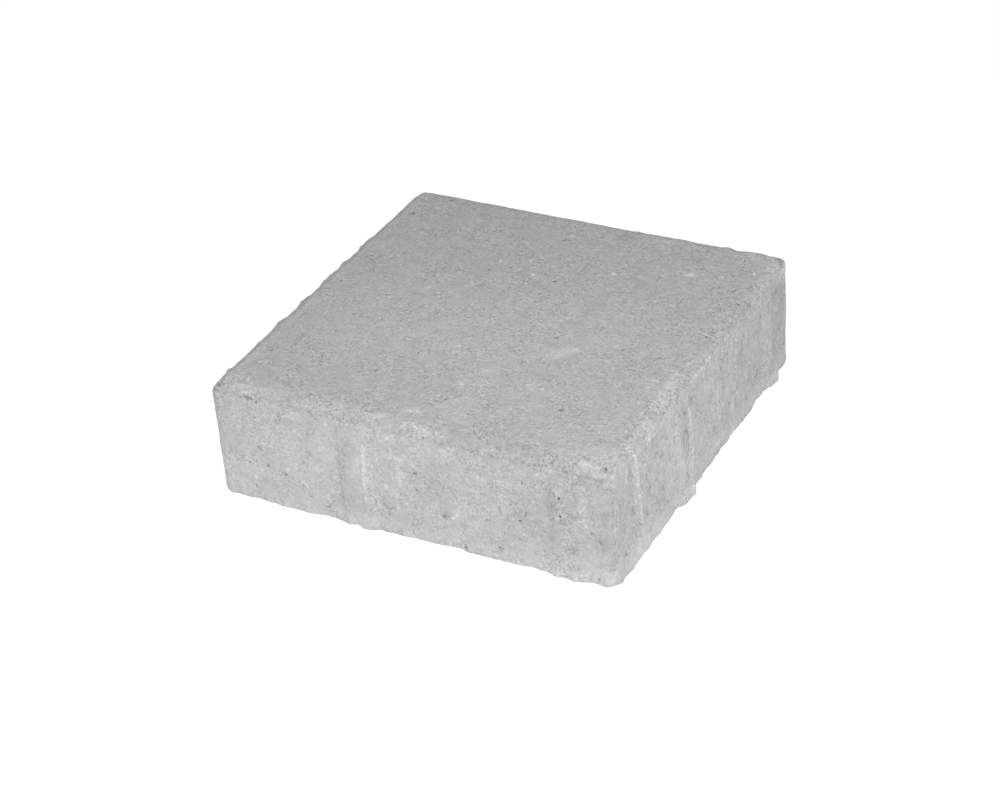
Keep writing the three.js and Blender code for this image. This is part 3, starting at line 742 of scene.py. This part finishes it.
def merged_copy(node):
    """A bmesh of a CAD node with its loose triangles joined."""
    bm = bmesh.new()
    bm.from_mesh(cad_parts[node].data)
    bmesh.ops.remove_doubles(bm, verts=bm.verts, dist=WELD)
    return bm


def even_skin(bm, cell):
    """The same closed shape in even square faces, cell across."""
    mesh = bpy.data.meshes.new("blank")
    bm.to_mesh(mesh)
    bm.free()
    blank = bpy.data.objects.new("blank", mesh)
    bpy.context.scene.collection.objects.link(blank)
    remesh = blank.modifiers.new("Even skin", "REMESH")
    remesh.mode = "VOXEL"
    remesh.voxel_size = cell
    skin = bmesh.new()
    skin.from_object(blank, bpy.context.evaluated_depsgraph_get())
    bpy.data.objects.remove(blank)
    bpy.data.meshes.remove(mesh)
    return skin


def refine(bm, wanted):
    """Halves every edge that has both ends where wanted says so."""
    chosen = {v for v in bm.verts if wanted(v.co / MM)}
    edges = [e for e in bm.edges if e.verts[0] in chosen and e.verts[1] in chosen]
    bmesh.ops.subdivide_edges(bm, edges=edges, cuts=1, use_grid_fill=True)


def near_form(p):
    """True near an edge, on a rib or in the corner hollow."""
    side, along, out = wall_place(p)
    if edge_distance(p, out) < EDGE_BAND:
        return True
    if out < HALF - 1.0:
        return False
    if any(abs(along - middle) < RIB_HALF_WIDTH for middle in RIB_MIDDLES):
        return True
    return side == RIGHT and along < HOLLOW_REACH


def near_seam(p):
    """True near the crest of a seam."""
    side, along, out = wall_place(p)
    if out < HALF - 1.0 or p.z > CHAMFER_FOOT:
        return False
    return any(abs(along - seam_middle(seam, p.z)) < SEAM_MARGIN for seam in SEAMS[side])


def near_mark(p):
    """True near a pit or a speck."""
    side, along, out = wall_place(p)
    if p.z > HEIGHT - 2.0:
        here, dots = (p.x, p.y), TOP_PITS + TOP_SPECKS
    elif out < HALF - 2.0:
        return False
    else:
        here, dots = (along, p.z), SIDE_PITS[side] + SIDE_SPECKS[side]
    return any(math.dist(here, mark[:2]) < mark[2] + MARK_MARGIN for mark in dots)


def clamp_to_box(p):
    """Keeps a point inside the solid's own box."""
    return Vector((
        min(max(p.x, -REACH), REACH),
        min(max(p.y, -REACH), REACH),
        min(max(p.z, 0.0), HEIGHT),
    ))


def make_stone():
    """The stone's skin, drawn over the plain solid."""
    skin = even_skin(merged_copy(STONE), CELL)
    refine(skin, near_form)
    refine(skin, near_seam)
    refine(skin, near_mark)
    refine(skin, near_mark)
    bmesh.ops.triangulate(skin, faces=[face for face in skin.faces if len(face.verts) > 4])
    skin.normal_update()
    layers = [skin.verts.layers.float.new(name) for name in MARKS]
    moved = []
    for v in skin.verts:
        place, marks = skin_point(v.co / MM, v.normal)
        for layer, mark in zip(layers, marks):
            v[layer] = mark
        moved.append(clamp_to_box(place) * MM)
    for v, place in zip(skin.verts, moved):
        v.co = place
    bmesh.ops.recalc_face_normals(skin, faces=skin.faces)
    for face in skin.faces:
        face.smooth = True
    mesh = bpy.data.meshes.new("stone_skin")
    skin.to_mesh(mesh)
    skin.free()
    stone = bpy.data.objects.new("stone_skin", mesh)
    bpy.context.scene.collection.objects.link(stone)
    mesh.materials.append(concrete())
    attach(stone, "root")
    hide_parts(STONE)


# --- Concrete ----------------------------------------------------------------------------------

def math_node(nodes, links, operation, *inputs):
    """A Math node with each input a socket or a number; returns its output."""
    node = nodes.new("ShaderNodeMath")
    node.operation = operation
    for socket, value in zip(node.inputs, inputs):
        if isinstance(value, (int, float)):
            socket.default_value = value
        else:
            links.new(value, socket)
    return node.outputs[0]


def noise_node(nodes, links, vector, size, detail=2.0, roughness=0.5):
    """Noise with bumps about size metres across, from 0 to 1."""
    node = nodes.new("ShaderNodeTexNoise")
    node.inputs["Scale"].default_value = 1.0 / size
    node.inputs["Detail"].default_value = detail
    node.inputs["Roughness"].default_value = roughness
    links.new(vector, node.inputs["Vector"])
    return node.outputs["Fac"]


def ramp(nodes, links, value, low, high):
    """0 up to low, 1 from high, smooth between."""
    node = nodes.new("ShaderNodeMapRange")
    node.interpolation_type = "SMOOTHSTEP"
    node.inputs["From Min"].default_value = low
    node.inputs["From Max"].default_value = high
    links.new(value, node.inputs["Value"])
    return node.outputs["Result"]


GREY = 0.43  # linear, before the marks
WALL_TINT_AND_LIGHT = 0.05  # how much lighter the sides are painted: partly their paste skin, partly painted light for the more light that the sides get than the top
FINE_GRAIN = 0.004  # below this size in metres the grain is stronger where the face is open
# Grain, each with its size in metres and how much it lightens and darkens the top and the sides
GRAIN = (
    (0.0008, 0.80, 0.76),
    (0.0015, 0.50, 0.42),
    (0.0030, 0.37, 0.25),
    (0.0065, 0.26, 0.26),
    (0.0300, 0.05, 0.07),
)


def concrete():
    """Pressed concrete, with the marks that the skin keeps, painted light and shade among them."""
    material = bpy.data.materials.new("pressed_concrete")
    material.use_nodes = True
    nodes, links = material.node_tree.nodes, material.node_tree.links
    shader = nodes["Principled BSDF"]
    place = nodes.new("ShaderNodeTexCoord").outputs["Object"]

    def attribute(name):
        node = nodes.new("ShaderNodeAttribute")
        node.attribute_name = name
        return node.outputs["Fac"]

    def calc(operation, *inputs):
        return math_node(nodes, links, operation, *inputs)

    wall, haze_light_and_shade, pale, stain_and_shade, pit, smooth, speck, scored = (attribute(name) for name in MARKS)
    open_grain = ramp(nodes, links, noise_node(nodes, links, place, 0.009, 3.0, 0.55), 0.38, 0.62)
    open_grain = calc("MULTIPLY", open_grain, calc("MULTIPLY_ADD", smooth, -0.85, 1.0))
    strength = calc("MULTIPLY_ADD", open_grain, 0.8, 0.6)
    strength = calc("MULTIPLY", strength, calc("MULTIPLY_ADD", scored, 0.22, 1.0))

    tone = None
    layers = []
    for size, on_top, on_wall in GRAIN:
        value = calc("SUBTRACT", noise_node(nodes, links, place, size, 1.0, 0.5), 0.5)
        layers.append(value)
        amount = calc("MULTIPLY_ADD", wall, on_wall - on_top, on_top)
        if size < FINE_GRAIN:
            amount = calc("MULTIPLY", amount, strength)
        part = calc("MULTIPLY", value, amount)
        tone = part if tone is None else calc("ADD", tone, part)

    # open pores between the grains, thicker in the stains
    pores = noise_node(nodes, links, place, 0.0013, 2.0, 0.6)
    gate = calc("MULTIPLY_ADD", stain_and_shade, -0.14, 0.66)
    pores = ramp(nodes, links, calc("SUBTRACT", pores, gate), 0.0, 0.12)
    pores = calc("MULTIPLY", pores, calc("MULTIPLY_ADD", open_grain, 0.7, 0.3))
    tone = calc("ADD", tone, calc("MULTIPLY", pores, -0.26))

    # smears, stains and painted shade, broken up by the grain
    broken = ramp(nodes, links, noise_node(nodes, links, place, 0.0020, 3.0, 0.65), 0.38, 0.62)
    lime = calc("MULTIPLY", pale, calc("MULTIPLY_ADD", broken, 1.2, 0.4))
    dirt_and_shade = calc("MULTIPLY", stain_and_shade, calc("MULTIPLY_ADD", broken, -0.8, 1.4))
    # the pits are painted dark, painted shade inside them; the haze and the stains carry painted light and
    # shade as well
    tints = ((lime, 0.17), (dirt_and_shade, -0.12), (haze_light_and_shade, 0.17), (pit, -0.85), (speck, 0.55), (wall, WALL_TINT_AND_LIGHT))
    for mark, amount in tints:
        tone = calc("ADD", tone, calc("MULTIPLY", mark, amount))

    # upright scores on the sides that the mould rubbed
    drawn = nodes.new("ShaderNodeMapping")
    drawn.inputs["Scale"].default_value = (1.0, 1.0, 0.27)
    links.new(place, drawn.inputs["Vector"])
    scores = calc("SUBTRACT", noise_node(nodes, links, drawn.outputs["Vector"], 0.0019, 2.0, 0.6), 0.5)
    tone = calc("ADD", tone, calc("MULTIPLY", calc("MULTIPLY", scores, scored), 0.42))
    tone = calc("MULTIPLY", calc("ADD", tone, 1.0), GREY)
    colour = nodes.new("ShaderNodeCombineColor")
    for channel in ("Red", "Green", "Blue"):
        links.new(tone, colour.inputs[channel])
    links.new(colour.outputs["Color"], shader.inputs["Base Color"])

    rough = calc("MULTIPLY_ADD", layers[1], 0.2, 0.88)
    links.new(rough, shader.inputs["Roughness"])
    shader.inputs["Specular IOR Level"].default_value = 0.25

    height = calc("MULTIPLY_ADD", layers[0], 0.5, calc("ADD", layers[1], layers[2]))
    height = calc("MULTIPLY", height, strength)
    height = calc("MULTIPLY_ADD", pores, -0.6, height)
    bump = nodes.new("ShaderNodeBump")
    bump.inputs["Strength"].default_value = 0.5
    bump.inputs["Distance"].default_value = 0.0006
    links.new(height, bump.inputs["Height"])
    links.new(bump.outputs["Normal"], shader.inputs["Normal"])
    return material


# --- Studio ------------------------------------------------------------------------------------

FLOOR_SIZE = 6.0
FLOOR_GREY = 0.93  # what the floor throws back on the stone
FLOOR_SHOWN = 0.30  # the part of what the camera sees that takes the stone's shadow
FLOOR_GLOW = 0.84  # and the part that doesn't


def make_floor():
    bm = bmesh.new()
    bmesh.ops.create_grid(bm, x_segments=1, y_segments=1, size=FLOOR_SIZE / 2)
    mesh = bpy.data.meshes.new("floor")
    bm.to_mesh(mesh)
    bm.free()
    floor = bpy.data.objects.new("floor", mesh)
    bpy.context.scene.collection.objects.link(floor)
    mesh.materials.append(floor_paper())


def seen_directly(nodes, links):
    """1 for rays from the camera, in gloss and through glass; 0 for the light that reaches the stone."""
    path = nodes.new("ShaderNodeLightPath")
    seen = math_node(nodes, links, "ADD", path.outputs["Is Camera Ray"], path.outputs["Is Glossy Ray"])
    seen = math_node(nodes, links, "ADD", seen, path.outputs["Is Transmission Ray"])
    return math_node(nodes, links, "MINIMUM", seen, 1.0)


def floor_paper():
    material = bpy.data.materials.new("pale_floor")
    material.use_nodes = True
    nodes, links = material.node_tree.nodes, material.node_tree.links
    shader = nodes["Principled BSDF"]
    shader.inputs["Roughness"].default_value = 1.0
    shader.inputs["Specular IOR Level"].default_value = 0.0
    shader.inputs["Emission Color"].default_value = (1, 1, 1, 1)
    seen = seen_directly(nodes, links)
    grey = math_node(nodes, links, "MULTIPLY_ADD", seen, FLOOR_SHOWN - FLOOR_GREY, FLOOR_GREY)
    colour = nodes.new("ShaderNodeCombineColor")
    for channel in ("Red", "Green", "Blue"):
        links.new(grey, colour.inputs[channel])
    links.new(colour.outputs["Color"], shader.inputs["Base Color"])
    links.new(math_node(nodes, links, "MULTIPLY", seen, FLOOR_GLOW), shader.inputs["Emission Strength"])
    return material


SKY_LOW = 0.70  # how bright the white surroundings are at the horizon
SKY_HIGH = 0.23  # and overhead; the camera sees plain white


def make_world():
    """White surroundings, plain to the camera and darker overhead for the light on the stone."""
    world = bpy.data.worlds.new("studio")
    bpy.context.scene.world = world
    world.use_nodes = True
    nodes, links = world.node_tree.nodes, world.node_tree.links
    background = nodes["Background"]
    background.inputs["Color"].default_value = (1, 1, 1, 1)
    way = nodes.new("ShaderNodeSeparateXYZ")
    links.new(nodes.new("ShaderNodeTexCoord").outputs["Generated"], way.inputs["Vector"])
    height = math_node(nodes, links, "ABSOLUTE", way.outputs["Z"])
    fall = math_node(nodes, links, "POWER", math_node(nodes, links, "SUBTRACT", 1.0, height), 2.0)
    sky = math_node(nodes, links, "MULTIPLY_ADD", fall, SKY_LOW - SKY_HIGH, SKY_HIGH)
    seen = seen_directly(nodes, links)
    unseen = math_node(nodes, links, "SUBTRACT", 1.0, seen)
    strength = math_node(nodes, links, "MULTIPLY_ADD", sky, unseen, seen)
    links.new(strength, background.inputs["Strength"])


# Name, azimuth and elevation in degrees, distance and size in metres, power in watts
LAMPS = (
    ("front_softbox", 0.0, 45.0, 0.8, 0.5, 2.85),
    ("side_softbox", 62.0, 40.0, 0.8, 0.5, 3.25),
    ("back_softbox", 225.0, 15.0, 1.8, 0.9, 4.5),
)


def make_lamps():
    for name, azimuth, elevation, distance, size, power in LAMPS:
        light = bpy.data.lights.new(name, "AREA")
        light.shape = "SQUARE"
        light.size = size
        light.energy = power
        lamp = bpy.data.objects.new(name, light)
        toward = view_direction(azimuth, elevation)
        lamp.location = toward * distance
        lamp.rotation_euler = toward.to_track_quat("Z", "Y").to_euler()
        bpy.context.scene.collection.objects.link(lamp)


# --- Camera ------------------------------------------------------------------------------------

CAMERA_AZIMUTH = 29.26  # degrees round from the front, towards the right side
CAMERA_ELEVATION = 32.54
CAMERA_ROLL = -4.37
CAMERA_DISTANCE = 1.1614  # metres
CAMERA_ASIDE = -0.0064  # how far the aim is to the right of the origin, across the view
CAMERA_ABOVE = 0.0115  # and above it
CAMERA_LENS = 88.0
SENSOR = 36.0


def view_direction(azimuth, elevation):
    """From the stone towards a camera or lamp at these angles."""
    a, e = math.radians(azimuth), math.radians(elevation)
    return Vector((math.sin(a) * math.cos(e), -math.cos(a) * math.cos(e), math.sin(e)))


def make_camera():
    back = view_direction(CAMERA_AZIMUTH, CAMERA_ELEVATION)
    right = UP.cross(back).normalized()
    above = back.cross(right)
    axes = Matrix((right, above, back)).transposed() @ Matrix.Rotation(math.radians(CAMERA_ROLL), 3, "Z")
    data = bpy.data.cameras.new("camera")
    data.lens = CAMERA_LENS
    data.sensor_width = SENSOR
    data.sensor_fit = "HORIZONTAL"
    camera = bpy.data.objects.new("camera", data)
    camera.matrix_world = axes.to_4x4()
    camera.location = axes @ Vector((CAMERA_ASIDE, CAMERA_ABOVE, CAMERA_DISTANCE))
    bpy.context.scene.collection.objects.link(camera)
    bpy.context.scene.camera = camera


bpy.context.scene.view_settings.view_transform = "Standard"
make_camera()
make_world()
make_lamps()
make_floor()
hidden_marks(random.Random(7))
make_stone()
